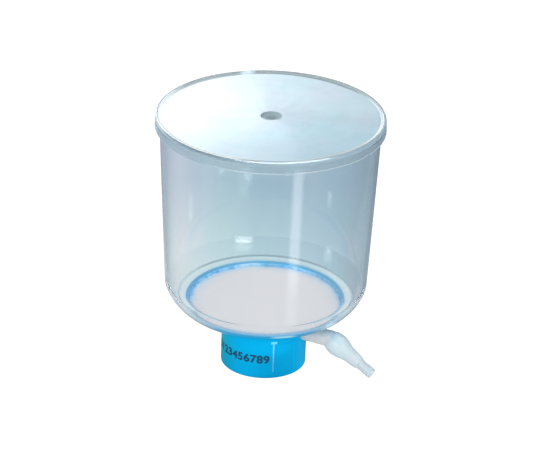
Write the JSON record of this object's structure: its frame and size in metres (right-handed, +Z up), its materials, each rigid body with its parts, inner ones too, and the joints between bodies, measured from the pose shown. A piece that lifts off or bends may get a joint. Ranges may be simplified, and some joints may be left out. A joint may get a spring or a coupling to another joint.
{
  "type": "bottle-top vacuum filtration unit",
  "caption": "Clear round bowl with a lift-off lid over a disc membrane, in a blue base that screws on a bottle neck, with a swivelling vacuum hose connector.",
  "frame": {"origin": "centre of the neck collar's mouth, on the plane of its foot", "axes": "+Z up along the bowl's axis; -Y is the front; the vacuum port points 22 degrees forward of +X"},
  "size_m": [0.1318, 0.1318, 0.1571],
  "materials": {
    "clear_lid": "gloss",
    "clear_bowl": "gloss",
    "membrane": "matte",
    "blue_base": "satin",
    "gasket": "matte",
    "connector": "satin",
    "plug": "matte"
  },
  "bodies": {
    "unit": {"bowl": "clear_bowl", "membrane": "membrane", "filter_base": "blue_base", "neck_gasket": "gasket"},
    "lid": {"lid": "clear_lid"},
    "connector": {"vacuum_connector": "connector", "port_filter_plug": "plug"}
  },
  "joints": [
    {"name": "lid_lift", "type": "slide", "parent": "unit", "child": "lid", "axis": [0, 0, 1], "range_m": [0, 0.06]},
    {"name": "connector_swivel", "type": "hinge", "parent": "unit", "child": "connector", "pos_m": [0.03876, -0.01566, 0.0229], "axis": [0.9272, -0.3746, 0], "continuous": true}
  ]
}
